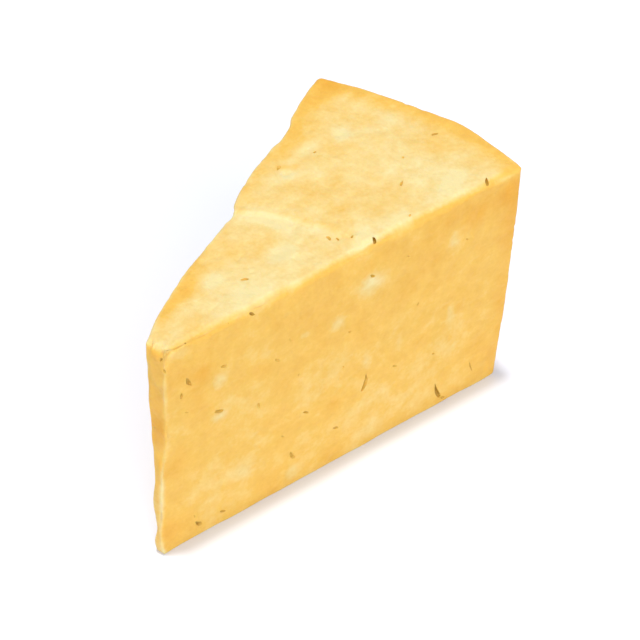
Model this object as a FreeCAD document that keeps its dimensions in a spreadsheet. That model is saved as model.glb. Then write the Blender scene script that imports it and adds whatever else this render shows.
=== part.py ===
"""A wedge of roumy, the hard pressed yellow cheese made in broad low wheels, as one solid.

How the real piece comes about, and how this model follows it:
  1. The wheel turns out of its mould with a leaning, barrelled side and a top that sinks a
     little towards the middle. A slice of its section is revolved about the wheel's axis.
  2. One side of the wedge is a straight knife cut: the revolve simply ends there. The other
     side is torn along the grain of the curd: a loft through wavy sections takes it away.
  3. The brittle tip has snapped off, further up than below, which leaves a ledge half way.
  4. A thin flake has come off the top between the tip and a curved line across the wedge.
  5. The curd holds mechanical openings: slits, eyes and pores with smooth walls.

Millimetres and degrees. The wheel's axis is Z while the wedge is built. At the end the wedge
is placed with the middle of its footprint at the origin, the tip towards -X, the rim towards
+X, the knife cut on the -Y side and the torn face on the +Y side, +Z up.
"""
import FreeCAD, Part
import math
import os

import Sketcher

NODE = "cheese_wedge"

SIZES = [
    # the wheel
    ("wheel_radius", 180.2, "radius of the wheel at its top edge"),
    ("base_radius", 174.8, "radius of the wheel where its side meets the base"),
    ("side_bulge", 0.9, "how far the side bulges from a straight line, top to base"),
    ("rim_height", 112.0, "height of the wheel at its top edge"),
    ("centre_height", 106.6, "height of the wheel in the middle, where the top sinks"),
    ("shoulder_round", 1.3, "rounding of the wheel's top edge"),
    ("foot_round", 1.8, "rounding of the wheel's bottom edge"),
    # the slice
    ("wedge_angle", 32.3, "angle between the two side faces"),
    ("knife_wear", 0.6, "rounding that handling has given the knife cut's long edges"),
    ("tear_allowance", 8.0, "extra angle revolved on the torn side, then taken away"),
    # the torn face: two swells stand out of it and two hollows go in
    ("tip_swell_at", 44.0, "swell near the tip: distance from the axis"),
    ("tip_swell_reach", 25.0, "half its length"),
    ("tip_swell_rise", 2.7, "how far it stands out"),
    ("notch_at", 88.5, "notch where the flake ends: distance from the axis"),
    ("notch_reach", 4.5, "half its length"),
    ("notch_depth", 1.1, "how far it goes in"),
    ("middle_swell_at", 108.0, "swell past the middle: distance from the axis"),
    ("middle_swell_reach", 15.0, "half its length"),
    ("middle_swell_rise", 1.4, "how far it stands out"),
    ("hollow_at", 140.5, "hollow towards the rim: distance from the axis"),
    ("hollow_reach", 8.5, "half its length"),
    ("hollow_depth", 1.7, "how far it goes in"),
    ("tear_lean", 26.0, "how far the swells drift towards the rim, from top to base"),
    ("tear_ripple", 0.9, "height of the ripples that cross the torn face below its edge"),
    ("tear_pitch", 47.0, "distance from one ripple to the next"),
    ("pinch_depth", 1.9, "how far the torn face goes in beside the tip, below the ledge"),
    ("pinch_reach", 18.0, "how far along the torn face that goes"),
    ("pinch_top", 75.0, "height at which it ends"),
    # the broken tip, as distances from the axis at the heights where its slope changes
    ("tip_foot", 7.0, "at the base"),
    ("tip_low", 5.9, "at the slimmest place, just above the base"),
    ("tip_low_height", 12.0, "height of the slimmest place"),
    ("tip_ledge", 9.3, "outer edge of the ledge"),
    ("tip_ledge_height", 51.5, "height of the ledge's outer edge"),
    ("tip_facet", 11.0, "foot of the upper break"),
    ("tip_facet_height", 57.0, "height of the foot of the upper break"),
    ("tip_brow", 14.5, "top of the upper break"),
    ("tip_brow_drop", 1.4, "how far the top of the upper break lies below the wheel's middle"),
    ("tip_crown", 16.2, "where the worn crown of the tip meets the top"),
    ("tip_ease", 1.2, "rounding of the break's corners"),
    # the flake taken off the top, inside a circle
    ("flake_depth", 0.7, "thickness of the flake"),
    ("flake_left", 90.5, "where its edge leaves the torn side: distance from the axis"),
    ("flake_right", 107.0, "where its edge leaves the knife cut: distance from the axis"),
    ("flake_bow", 3.4, "how far its edge bows towards the rim"),
    # openings: length, width and full depth of each kind
    ("crack_length", 13.5, "crack"), ("crack_width", 2.4, ""), ("crack_depth", 9.0, ""),
    ("slit_length", 9.4, "slit"), ("slit_width", 1.9, ""), ("slit_depth", 7.0, ""),
    ("eye_length", 5.2, "eye"), ("eye_width", 2.9, ""), ("eye_depth", 6.0, ""),
    ("pore_length", 3.8, "pore"), ("pore_width", 1.9, ""), ("pore_depth", 4.2, ""),
    # the openings of the torn face, which follow a rule instead of a place each
    ("torn_openings", 13, "how many"),
    ("torn_border", 17.0, "how far they keep from the face's edges"),
]

# Openings of the knife cut: kind, share of the way from the wheel's axis to the rim, share of
# the way from the base to the top there, and lean towards the rim in degrees.
KNIFE_OPENINGS = [
    ("crack", 0.801, 0.086, -19), ("slit", 0.579, 0.347, 12), ("slit", 0.899, 0.117, -14),
    ("eye", 0.598, 0.854, -50), ("eye", 0.200, 0.594, -66), ("eye", 0.132, 0.812, -22),
    ("pore", 0.216, 0.798, -72), ("pore", 0.298, 0.518, -8), ("eye", 0.422, 0.351, -50),
    ("pore", 0.503, 0.185, -66), ("pore", 0.383, 0.162, -20), ("pore", 0.133, 0.065, -36),
    ("pore", 0.194, 0.061, -60), ("pore", 0.667, 0.346, -56), ("pore", 0.347, 0.695, -42),
    ("pore", 0.293, 0.963, -46), ("pore", 0.113, 0.761, 8), ("pore", 0.780, 0.298, -70),
]

# Openings of the top: kind, share of the way from the axis to the rim, share of the way from
# the wedge's middle line to the torn side (less than 0: to the knife cut), and turn in degrees.
TOP_OPENINGS = [
    ("eye", 0.608, -0.985, 62), ("pore", 0.915, -0.985, 48), ("pore", 0.772, -0.455, 20),
    ("pore", 0.545, -0.493, 70), ("pore", 0.946, -0.225, -30), ("pore", 0.666, 0.787, 15),
]

# Openings of the upper break of the tip: kind, share of the way from its middle to the torn
# side, share of the way from its foot to its brow, and lean in degrees.
TIP_OPENINGS = [("pore", -0.6, 0.93, -30), ("pore", -0.9, 0.85, 25)]

NEAR = 0.01              # a point this close to an edge lies on it
TEAR_LEVELS = 6          # wavy sections that the torn face is lofted through
TEAR_POLES = 44          # control points along each of them
TEAR_CLIMB = 1.7         # millimetres that a ripple moves towards the tip for each one up
OVERCUT = 12.0           # how far cutting outlines reach outside the wedge
GOLDEN = (math.sqrt(5) - 1) / 2
TORN_START = 0.31        # share of the torn face's height where its first opening lies
TORN_LEANS = (-70, 27, -56, 41, -42, 55, -18, 8)

document = FreeCAD.newDocument(NODE)
sheet = document.addObject("Spreadsheet::Sheet", "Sizes")
for row, (alias, value, meaning) in enumerate(SIZES, start=1):
    sheet.set("A%d" % row, alias)
    sheet.set("B%d" % row, str(value))
    sheet.setAlias("B%d" % row, alias)
    sheet.set("C%d" % row, meaning)
document.recompute()


def size(alias):
    """The number that the sheet holds under this name."""
    return float(sheet.get(alias))


def origin_plane(body, role):
    """One of a body's own three planes, such as XY_Plane."""
    return next(item for item in body.Origin.OriginFeatures if item.Role == role)


def new_sketch(body, name, role):
    """A sketch lying on one of the body's own planes."""
    sketch = body.newObject("Sketcher::SketchObject", name)
    sketch.AttachmentSupport = [(origin_plane(body, role), "")]
    sketch.MapMode = "FlatFace"
    return sketch


def closed_lines(sketch, corners):
    """Straight lines through the corners, joined end to end; gives each line's number."""
    vectors = [FreeCAD.Vector(x, y, 0) for x, y in corners]
    lines = [Part.LineSegment(a, b) for a, b in zip(vectors, vectors[1:] + vectors[:1])]
    numbers = list(sketch.addGeometry(lines, False))
    for number, following in zip(numbers, numbers[1:] + numbers[:1]):
        sketch.addConstraint(Sketcher.Constraint("Coincident", number, 2, following, 1))
    return numbers


def hold_point(sketch, geometry, point, across, up):
    """Tie one point of a sketch to expressions for its two distances from the origin."""
    place = sketch.getPoint(geometry, point)
    for kind, value, expression in (("DistanceX", place.x, across), ("DistanceY", place.y, up)):
        number = sketch.addConstraint(Sketcher.Constraint(kind, -1, 1, geometry, point, value))
        sketch.setExpression("Constraints[%d]" % number, expression)


def edges_where(shape, test):
    """Names of the edges whose every sampled point passes the test."""
    names = []
    for number, edge in enumerate(shape.Edges, start=1):
        if edge.Degenerated:
            continue
        if all(test(point) for point in edge.discretize(5)):
            names.append("Edge%d" % number)
    return names


def round_edges(body, name, test, radius):
    """Fillet those edges of the body that pass the test, with a radius from the sheet."""
    document.recompute()
    base = body.Tip
    names = edges_where(base.Shape, test)
    assert names, "no edge found for " + name
    fillet = body.newObject("PartDesign::Fillet", name)
    fillet.Base = (base, names)
    fillet.setExpression("Radius", "Sizes." + radius)
    return fillet


def revolve_wheel_slice(body):
    """Half the wheel's section, turned about its axis from the knife cut past the torn face."""
    section = new_sketch(body, "WheelSection", "XZ_Plane")
    corners = [(0, 0), (size("base_radius"), 0),
               (size("wheel_radius"), size("rim_height")), (0, size("centre_height"))]
    base, chord, top, axis = closed_lines(section, corners)
    section.setConstruction(chord, True)
    hold_point(section, base, 1, "0", "0")
    hold_point(section, base, 2, "Sizes.base_radius", "0")
    hold_point(section, top, 1, "Sizes.wheel_radius", "Sizes.rim_height")
    hold_point(section, axis, 1, "0", "Sizes.centre_height")

    lean = size("wheel_radius") - size("base_radius")
    half_side = math.hypot(lean, size("rim_height")) / 2
    middle = FreeCAD.Vector((corners[1][0] + corners[2][0]) / 2, size("rim_height") / 2, 0)
    outwards = FreeCAD.Vector(size("rim_height"), -lean, 0).normalize()
    side = section.addGeometry(Part.Arc(FreeCAD.Vector(*corners[1], 0),
                                        middle + outwards * size("side_bulge"),
                                        FreeCAD.Vector(*corners[2], 0)), False)
    section.addConstraint(Sketcher.Constraint("Coincident", side, 1, base, 2))
    section.addConstraint(Sketcher.Constraint("Coincident", side, 2, top, 1))
    bulge_radius = (half_side ** 2 + size("side_bulge") ** 2) / (2 * size("side_bulge"))
    radius = section.addConstraint(Sketcher.Constraint("Radius", side, bulge_radius))
    section.setExpression(
        "Constraints[%d]" % radius,
        "(((Sizes.wheel_radius - Sizes.base_radius) ^ 2 + Sizes.rim_height ^ 2) / 4"
        " + Sizes.side_bulge ^ 2) / (2 * Sizes.side_bulge)")

    slice_ = body.newObject("PartDesign::Revolution", "WheelSlice")
    slice_.Profile = section
    slice_.ReferenceAxis = (section, ["V_Axis"])
    slice_.Type = "TwoAngles"
    slice_.setExpression("Angle", "Sizes.wedge_angle / 2 + Sizes.tear_allowance")
    slice_.setExpression("Angle2", "Sizes.wedge_angle / 2")
    document.recompute()
    return slice_


def swell(along, drift, name, height):
    """A flat-topped swell of the torn face: height times e to the minus fourth power of reach."""
    centre = size(name + "_at") + drift
    return height * math.exp(-((along - centre) / size(name + "_reach")) ** 4)


def pinch(along, height):
    """How far the torn face goes in beside the tip: most below the ledge, nothing at its top."""
    share = (size("pinch_top") - height) / (size("pinch_top") - size("tip_ledge_height"))
    fall = math.exp(-(along / size("pinch_reach")) ** 2)
    return size("pinch_depth") * fall * min(1, max(0, share))


def tear_offset(along, height):
    """How far the torn face stands outside its plane, at a distance from the axis and a height."""
    level = height / size("rim_height")
    drift = size("tear_lean") * (1 - level)
    strength = 0.45 + 0.55 * level
    swells = (swell(along, drift, "tip_swell", size("tip_swell_rise"))
              - swell(along, drift, "notch", size("notch_depth"))
              + swell(along, drift, "middle_swell", size("middle_swell_rise"))
              - swell(along, drift, "hollow", size("hollow_depth")))
    climb = along + TEAR_CLIMB * height
    ripple = size("tear_ripple") * math.sin(2 * math.pi * climb / size("tear_pitch"))
    return strength * swells + (1 - level) * ripple - pinch(along, height)


def side_face(turn):
    """A side face's two directions: along it from the axis, and out of it. turn is +1 or -1."""
    half = math.radians(size("wedge_angle") / 2)
    along_face = FreeCAD.Vector(math.cos(half), turn * math.sin(half), 0)
    outwards = FreeCAD.Vector(-math.sin(half), turn * math.cos(half), 0)
    return along_face, outwards


def tear_section(body, number):
    """One wavy section of the cutter: the torn line, closed by three lines outside the slice."""
    level = number / (TEAR_LEVELS - 1)
    height = (size("rim_height") + 2 * OVERCUT) * level - OVERCUT
    sketch = new_sketch(body, "TearSection%d" % number, "XY_Plane")
    sketch.setExpression("AttachmentOffset.Base.z",
                         "(Sizes.rim_height + %g) * %g - %g" % (2 * OVERCUT, level, OVERCUT))
    along_face, outwards = side_face(1)
    end = size("wheel_radius") + OVERCUT
    far_side = end * math.tan(math.radians(size("tear_allowance"))) + OVERCUT
    steps = [-OVERCUT + (end + OVERCUT) * index / (TEAR_POLES - 1) for index in range(TEAR_POLES)]
    poles = [along_face * step + outwards * tear_offset(step, height) for step in steps]
    wave = Part.BSplineCurve()
    wave.buildFromPoles(poles, False, 3)
    corners = [poles[-1], along_face * end + outwards * far_side,
               outwards * far_side - along_face * OVERCUT, poles[0]]
    lines = [Part.LineSegment(a, b) for a, b in zip(corners, corners[1:])]
    numbers = list(sketch.addGeometry([wave] + lines, False))
    for here, following in zip(numbers, numbers[1:] + numbers[:1]):
        sketch.addConstraint(Sketcher.Constraint("Coincident", here, 2, following, 1))
    return sketch


def tear_side_face(body):
    """Take the torn side away: a loft through wavy sections, from below the base to the top."""
    sections = [tear_section(body, number) for number in range(TEAR_LEVELS)]
    tear = body.newObject("PartDesign::SubtractiveLoft", "TornFace")
    tear.Profile = sections[0]
    tear.Sections = sections[1:]
    document.recompute()
    return tear


def break_tip(body):
    """Snap the tip off: a pocket whose outline is the break seen from the side."""
    below = "0 - %g" % OVERCUT
    above = "Sizes.centre_height + %g" % OVERCUT
    brow_height = "Sizes.centre_height - Sizes.tip_brow_drop"
    heights = {below: -OVERCUT, above: size("centre_height") + OVERCUT,
               brow_height: size("centre_height") - size("tip_brow_drop"),
               "Sizes.centre_height": size("centre_height"), "0": 0.0,
               "Sizes.tip_low_height": size("tip_low_height"),
               "Sizes.tip_ledge_height": size("tip_ledge_height"),
               "Sizes.tip_facet_height": size("tip_facet_height")}
    outline = [
        ("0 - Sizes.tip_foot", -size("tip_foot"), below),
        ("Sizes.tip_foot", size("tip_foot"), below),
        ("Sizes.tip_foot + 0", size("tip_foot"), "0"),
        ("Sizes.tip_low", size("tip_low"), "Sizes.tip_low_height"),
        ("Sizes.tip_ledge", size("tip_ledge"), "Sizes.tip_ledge_height"),
        ("Sizes.tip_facet", size("tip_facet"), "Sizes.tip_facet_height"),
        ("Sizes.tip_brow", size("tip_brow"), brow_height),
        ("Sizes.tip_crown", size("tip_crown"), "Sizes.centre_height"),
        ("Sizes.tip_crown + %g" % OVERCUT, size("tip_crown") + OVERCUT, above),
        ("0 - Sizes.tip_foot", -size("tip_foot"), above),
    ]
    sketch = new_sketch(body, "BreakOutline", "XZ_Plane")
    lines = closed_lines(sketch, [(across, heights[up]) for _, across, up in outline])
    for line, (across, _, up) in zip(lines, outline):
        hold_point(sketch, line, 1, across, up)
    broken = body.newObject("PartDesign::Pocket", "BrokenTip")
    broken.Profile = sketch
    broken.Type = "ThroughAll"
    broken.Midplane = True
    document.recompute()
    return broken


def lift_flake(body):
    """Take the thin flake off the top: a shallow pocket inside a circle that cuts the wedge."""
    left = side_face(1)[0] * size("flake_left")
    right = side_face(-1)[0] * size("flake_right")
    chord = left - right
    bow = size("flake_bow")
    radius = (chord.Length ** 2 / 4 + bow ** 2) / (2 * bow)
    to_tip = FreeCAD.Vector(-chord.y, chord.x, 0).normalize()
    centre = (left + right) / 2 + to_tip * (radius - bow)
    sketch = new_sketch(body, "FlakeCircle", "XY_Plane")
    slope = math.degrees(math.atan2(size("rim_height") - size("centre_height"),
                                    size("wheel_radius")))
    sketch.AttachmentOffset = FreeCAD.Placement(
        FreeCAD.Vector(0, 0, size("centre_height") - size("flake_depth")),
        FreeCAD.Rotation(FreeCAD.Vector(0, 1, 0), -slope))
    sketch.setExpression("AttachmentOffset.Base.z", "Sizes.centre_height - Sizes.flake_depth")
    sketch.addGeometry(Part.Circle(centre, FreeCAD.Vector(0, 0, 1), radius), False)
    flake = body.newObject("PartDesign::Pocket", "FlakeOff")
    flake.Profile = sketch
    flake.Type = "ThroughAll"
    flake.Reversed = True
    document.recompute()
    return flake


def opening(kind, name, centre, length_way, outwards):
    """One opening: an ellipsoid, long way in the face, its depth square to the face."""
    ellipsoid = document.addObject("Part::Ellipsoid", name)
    ellipsoid.setExpression("Radius1", "Sizes.%s_length / 2" % kind)
    ellipsoid.setExpression("Radius2", "Sizes.%s_width / 2" % kind)
    ellipsoid.setExpression("Radius3", "Sizes.%s_depth / 2" % kind)
    turn = FreeCAD.Rotation(length_way.cross(outwards) * -1, outwards, length_way, "ZYX")
    ellipsoid.Placement = FreeCAD.Placement(centre, turn)
    return ellipsoid


def knife_cut_openings():
    """Openings of the knife cut, at the places listed above."""
    along_face, outwards = side_face(-1)
    made = []
    for number, (kind, along_share, up_share, lean) in enumerate(KNIFE_OPENINGS):
        along = along_share * size("wheel_radius")
        height = up_share * top_height(along)
        angle = math.radians(lean)
        length_way = along_face * math.sin(angle) + FreeCAD.Vector(0, 0, math.cos(angle))
        centre = along_face * along + FreeCAD.Vector(0, 0, height)
        made.append(opening(kind, "KnifeOpening%d" % number, centre, length_way, outwards))
    return made


def top_height(distance):
    """Height of the wheel's top at a distance from its axis, before the flake comes off."""
    rise = size("rim_height") - size("centre_height")
    return size("centre_height") + rise * distance / size("wheel_radius")


def top_openings():
    """Openings of the top, at the places listed above."""
    made = []
    for number, (kind, out_share, side_share, turn) in enumerate(TOP_OPENINGS):
        distance = out_share * size("wheel_radius")
        bearing = math.radians(side_share * size("wedge_angle") / 2)
        flake = size("flake_depth") if distance < size("flake_left") else 0.0
        centre = FreeCAD.Vector(distance * math.cos(bearing), distance * math.sin(bearing),
                                top_height(distance) - flake)
        angle = math.radians(turn)
        length_way = FreeCAD.Vector(math.cos(angle), math.sin(angle), 0)
        made.append(opening(kind, "TopOpening%d" % number, centre, length_way,
                            FreeCAD.Vector(0, 0, 1)))
    return made


def tip_openings():
    """Openings of the upper break of the tip, on its leaning facet."""
    rise = size("centre_height") - size("tip_brow_drop") - size("tip_facet_height")
    slope = (size("tip_brow") - size("tip_facet")) / rise
    outwards = FreeCAD.Vector(-1, 0, slope).normalize()
    up_face = FreeCAD.Vector(slope, 0, 1).normalize()
    made = []
    for number, (kind, side_share, up_share, lean) in enumerate(TIP_OPENINGS):
        across = size("tip_facet") + slope * rise * up_share
        side = side_share * across * math.tan(math.radians(size("wedge_angle") / 2))
        height = size("tip_facet_height") + rise * up_share
        angle = math.radians(lean)
        length_way = up_face * math.cos(angle) + FreeCAD.Vector(0, math.sin(angle), 0)
        made.append(opening(kind, "TipOpening%d" % number,
                            FreeCAD.Vector(across, side, height), length_way, outwards))
    return made


def torn_face_openings():
    """Openings of the torn face: golden-ratio steps spread them evenly but never in rows."""
    along_face, outwards = side_face(1)
    kinds = ("pore", "eye", "pore", "slit", "pore", "eye", "pore")
    border = size("torn_border")
    count = int(size("torn_openings"))
    made = []
    for number in range(count):
        up_share = (TORN_START + GOLDEN * number) % 1
        along = size("tip_crown") + border / 2
        along += (size("base_radius") - border - along) * (number + 0.5) / count
        height = border / 2 + up_share * (size("centre_height") - 1.5 * border)
        angle = math.radians(TORN_LEANS[number % len(TORN_LEANS)])
        length_way = along_face * math.sin(angle) + FreeCAD.Vector(0, 0, math.cos(angle))
        centre = (along_face * along + outwards * tear_offset(along, height)
                  + FreeCAD.Vector(0, 0, height))
        made.append(opening(kinds[number % len(kinds)], "TornOpening%d" % number, centre,
                            length_way, outwards))
    return made


def on_shoulder(point):
    """True on the wheel's top edge."""
    return (abs(math.hypot(point.x, point.y) - size("wheel_radius")) < NEAR
            and abs(point.z - size("rim_height")) < NEAR)


def on_foot(point):
    """True on the wheel's bottom edge."""
    return abs(math.hypot(point.x, point.y) - size("base_radius")) < NEAR and abs(point.z) < NEAR


def across_break(point):
    """True on the two corners of the ledge half way up the break."""
    outer = (size("tip_ledge"), size("tip_ledge_height"))
    inner = (size("tip_facet"), size("tip_facet_height"))
    return any(math.hypot(point.x - across, point.z - up) < NEAR for across, up in (outer, inner))


def along_knife_cut(point):
    """True on the knife cut's edge with the top, the base or the rim, away from the tip."""
    return abs(point.dot(side_face(-1)[1])) < NEAR and point.x > size("tip_foot") - NEAR


def check_objects():
    """Stop if any object failed to build."""
    for item in document.Objects:
        assert not {"Invalid", "Error"} & set(item.State), item.Name + " failed"


def check_cut(feature, base):
    """Stop if a cut took nothing away."""
    assert feature.Shape.Volume < base.Shape.Volume - 1, feature.Name + " cut nothing"


body = document.addObject("PartDesign::Body", "Curd")
wheel_slice = revolve_wheel_slice(body)
shoulder = round_edges(body, "Shoulder", on_shoulder, "shoulder_round")
foot = round_edges(body, "Foot", on_foot, "foot_round")
torn = tear_side_face(body)
check_cut(torn, foot)
broken = break_tip(body)
check_cut(broken, torn)
eased = round_edges(body, "EasedBreak", across_break, "tip_ease")
flaked = lift_flake(body)
check_cut(flaked, eased)
worn = round_edges(body, "WornKnifeCut", along_knife_cut, "knife_wear")

openings = document.addObject("Part::Compound", "Openings")
openings.Links = knife_cut_openings() + top_openings() + tip_openings() + torn_face_openings()
wedge = document.addObject("Part::Cut", "Wedge")
wedge.Base = body
wedge.Tool = openings
wedge.Label = NODE
document.recompute()
check_objects()
check_cut(wedge, body)

box = wedge.Shape.optimalBoundingBox(True, False)
wedge.Placement = FreeCAD.Placement(
    FreeCAD.Vector(-(box.XMin + box.XMax) / 2, -(box.YMin + box.YMax) / 2, -box.ZMin),
    FreeCAD.Rotation())
document.recompute()
check_objects()

shape = wedge.Shape
assert not shape.isNull() and shape.isValid() and len(shape.Solids) == 1, "the wedge is not one solid"
os.makedirs("parts", exist_ok=True)
shape.exportStep("parts/%s.step" % NODE)
box = shape.optimalBoundingBox(True, False)
print("%s: %.1f x %.1f x %.1f mm, %.0f ml, %d faces"
      % (NODE, box.XLength, box.YLength, box.ZLength, shape.Volume / 1000, len(shape.Faces)))
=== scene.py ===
# %% [markdown]
# # A wedge of roumy cheese
#
# Roumy is a hard, pressed, yellow cheese that is made in broad low wheels. This notebook
# dresses one wedge of it: a straight knife cut on one side, a torn side on the other, a tip
# that has snapped off, and the small slits and eyes that the pressed curd leaves.
#
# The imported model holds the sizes. Everything here is worked out in its frame: the middle of
# the wedge's footprint is the origin, +X runs from the tip to the rim, +Z is up.

# %% Load the frame
import math

import bmesh
import bpy
import numpy as np
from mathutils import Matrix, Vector


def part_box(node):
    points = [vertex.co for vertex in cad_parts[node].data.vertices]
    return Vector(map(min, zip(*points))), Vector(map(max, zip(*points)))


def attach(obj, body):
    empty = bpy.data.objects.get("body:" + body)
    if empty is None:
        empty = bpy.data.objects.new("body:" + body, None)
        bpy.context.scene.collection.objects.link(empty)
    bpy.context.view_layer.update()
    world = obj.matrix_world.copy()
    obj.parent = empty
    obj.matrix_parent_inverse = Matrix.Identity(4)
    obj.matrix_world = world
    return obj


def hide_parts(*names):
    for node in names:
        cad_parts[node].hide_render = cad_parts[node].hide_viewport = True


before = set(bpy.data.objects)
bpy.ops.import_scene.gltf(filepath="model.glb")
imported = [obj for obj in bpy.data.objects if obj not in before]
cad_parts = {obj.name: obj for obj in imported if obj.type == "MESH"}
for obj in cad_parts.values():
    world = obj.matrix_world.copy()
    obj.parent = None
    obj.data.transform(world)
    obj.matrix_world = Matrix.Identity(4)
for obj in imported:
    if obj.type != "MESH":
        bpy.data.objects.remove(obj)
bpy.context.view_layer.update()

MM = 0.001               # metres in a millimetre
SEED = 7
low, high = (np.array(corner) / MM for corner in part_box("cheese_wedge"))
print("CAD wedge, mm:", np.round(high - low, 1))

# %% [markdown]
# ## The wheel that the wedge came from
#
# A wedge is easiest to describe from the axis of its wheel: every place has a distance from
# the axis, a bearing between the two side faces, and a height. The wheel's radius follows from
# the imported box, because the tip stops a few millimetres short of the axis. All shapes below
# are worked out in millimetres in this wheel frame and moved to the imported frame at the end.

# %% Sizes of the wheel and the wedge
WEDGE_ANGLE = math.radians(32.3)
HALF = WEDGE_ANGLE / 2
TIP_GAP = 5.9            # from the axis to the slimmest place of the broken tip
CENTRE_SINK = 5.4        # how much lower the wheel's top is in the middle than at the rim
BASE_DRAFT = 5.4         # how much smaller the wheel is at its base than at its top
SIDE_BULGE = 0.9         # how far its side bulges from a straight line

RADIUS = high[0] - low[0] + TIP_GAP
RIM_HEIGHT = high[2] - low[2]
AXIS = np.array([high[0] - RADIUS, low[1] + RADIUS * math.sin(HALF), low[2]])

KNIFE_ALONG = np.array([math.cos(HALF), -math.sin(HALF), 0.0])
KNIFE_OUT = np.array([-math.sin(HALF), -math.cos(HALF), 0.0])
TORN_ALONG = np.array([math.cos(HALF), math.sin(HALF), 0.0])
TORN_OUT = np.array([-math.sin(HALF), math.cos(HALF), 0.0])
UP = np.array([0.0, 0.0, 1.0])
print("wheel radius %.1f mm, height %.1f mm" % (RADIUS, RIM_HEIGHT))

# %% [markdown]
# ## Noise made from whole arrays
#
# Cheese is uneven at every size: a cut face waves by a fraction of a millimetre, torn curd is
# lumpy, and its colour drifts. Blender's texture nodes could make such noise, but only in
# shading. Here the surface itself has to move, so three small noise functions work on whole
# arrays of points. Random values come from mixing the numbers of a lattice cell, so the same
# point always gets the same value.

# %% Noise helpers
MIXERS = (374761393, 668265263, 2246822519)     # large odd numbers, one for each axis
FOLDS = ((15, 2246822519), (13, 3266489917))    # how far to shift, and what to multiply by
LAST_FOLD = 16
SEED_FACTOR = 7919
LARGEST = 2.0 ** 32 - 1                         # of the whole numbers with 32 bits


def cell_value(cells, seed):
    """A random number from 0 to 1 for each lattice cell.

    The cell's three whole numbers are multiplied by large odd numbers and added, and the sum's
    bits are folded over themselves.
    """
    mixed = np.uint32(seed * SEED_FACTOR + 1)
    for axis, factor in enumerate(MIXERS):
        mixed = mixed + cells[..., axis].astype(np.int64).astype(np.uint32) * np.uint32(factor)
    for shift, factor in FOLDS:
        mixed = (mixed ^ (mixed >> np.uint32(shift))) * np.uint32(factor)
    return (mixed ^ (mixed >> np.uint32(LAST_FOLD))) / LARGEST


def smooth_noise(points, grain, seed):
    """Soft random hills from -1 to 1, about one grain across.

    Each point blends the values of its cell's eight corners. The blend share t becomes
    6t^5 - 15t^4 + 10t^3, which leaves no creases between the cells.
    """
    scaled = points / grain
    corner = np.floor(scaled)
    share = scaled - corner
    share = share ** 3 * (share * (share * 6 - 15) + 10)
    total = np.zeros(len(points))
    for offset in np.ndindex(2, 2, 2):
        step = np.array(offset)
        weight = np.prod(np.where(step == 1, share, 1 - share), axis=1)
        total += weight * cell_value(corner + step, seed)
    return 2 * total - 1


def rough_noise(points, grain, octaves, seed):
    """Hills with smaller hills on them: each octave has half the grain and half the height."""
    heights = 0.5 ** np.arange(octaves)
    layers = [height * smooth_noise(points, grain * height, seed + number)
              for number, height in enumerate(heights)]
    return np.sum(layers, axis=0) / heights.sum()


def lump_noise(points, grain, seed):
    """Packed lumps: 1 in the middle of a lump, 0 in the seam between two.

    One centre is thrown into each lattice cell, and the value is the gap between the
    distances to the nearest and the second nearest centre.
    """
    scaled = points / grain
    corner = np.floor(scaled)
    nearest = np.full(len(points), np.inf)
    second = np.full(len(points), np.inf)
    for offset in np.ndindex(3, 3, 3):
        cells = corner + np.array(offset) - 1
        centres = cells + np.stack([cell_value(cells, seed + axis) for axis in range(3)], axis=1)
        distance = np.linalg.norm(scaled - centres, axis=1)
        second = np.minimum(second, np.maximum(nearest, distance))
        nearest = np.minimum(nearest, distance)
    return np.clip(second - nearest, 0, 1)


probe = rough_noise(np.random.default_rng(SEED).uniform(0, 100, (2000, 3)), 9, 3, SEED)
print("rough noise runs from %.2f to %.2f" % (probe.min(), probe.max()))

# %% Soft steps, and hills with a height
def fade(values, start, end):
    """0 at start, 1 at end, and a soft S between them: 3t^2 - 2t^3."""
    share = np.clip((values - start) / (end - start), 0, 1)
    return share * share * (3 - 2 * share)


def fall(values, start, end):
    """The other way round: 1 at start, 0 at end."""
    return 1 - fade(values, start, end)


def hills(points, height, grain, octaves, seed_step):
    """Rough noise that is height millimetres high. Each use has a seed step of its own."""
    return height * rough_noise(points, grain, octaves, SEED + seed_step)


print("a soft step at its quarters:", fade(np.linspace(0, 1, 5), 0, 1).round(2))

# %% [markdown]
# ## The faces of the wedge as formulas
#
# Each face is a function: the height of the top, the bow of the rim, how far the torn face
# stands out of its plane, and where the tip is broken. The same functions shape the surface
# and later tell every point how deep below the skin it lies, which colours the openings.
#
# The top comes first. It sank a little in the middle as the wheel was pressed, and near the
# tip a thin flake has come off it. The flake's edge could be drawn point by point, but an arc
# with noise on it wanders as a real edge does, and takes only a few sizes.

# %% The top, with the flake that has come off it
FLAKE_DEPTH = 1.0
FLAKE_LEFT = 90.5        # where its edge leaves the torn side, from the axis
FLAKE_RIGHT = 107.0      # where its edge leaves the knife cut, from the axis
FLAKE_BOW = 3.4
FLAKE_SLOPE = 2.0        # how wide its worn edge is
FLAKE_WANDER = (1.3, 11, 3, 40)     # height, grain, octaves and seed step, as in all hills


def flake_circle():
    """Centre and radius of the circle whose arc is the flake's edge.

    A chord of length c with bow b belongs to the radius (c^2 / 4 + b^2) / 2b.
    """
    left, right = TORN_ALONG * FLAKE_LEFT, KNIFE_ALONG * FLAKE_RIGHT
    chord = left - right
    length = np.linalg.norm(chord)
    radius = (length ** 2 / 4 + FLAKE_BOW ** 2) / (2 * FLAKE_BOW)
    to_tip = np.array([-chord[1], chord[0], 0.0]) / length
    return (left + right) / 2 + to_tip * (radius - FLAKE_BOW), radius


FLAKE_CENTRE, FLAKE_RADIUS = flake_circle()


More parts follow.
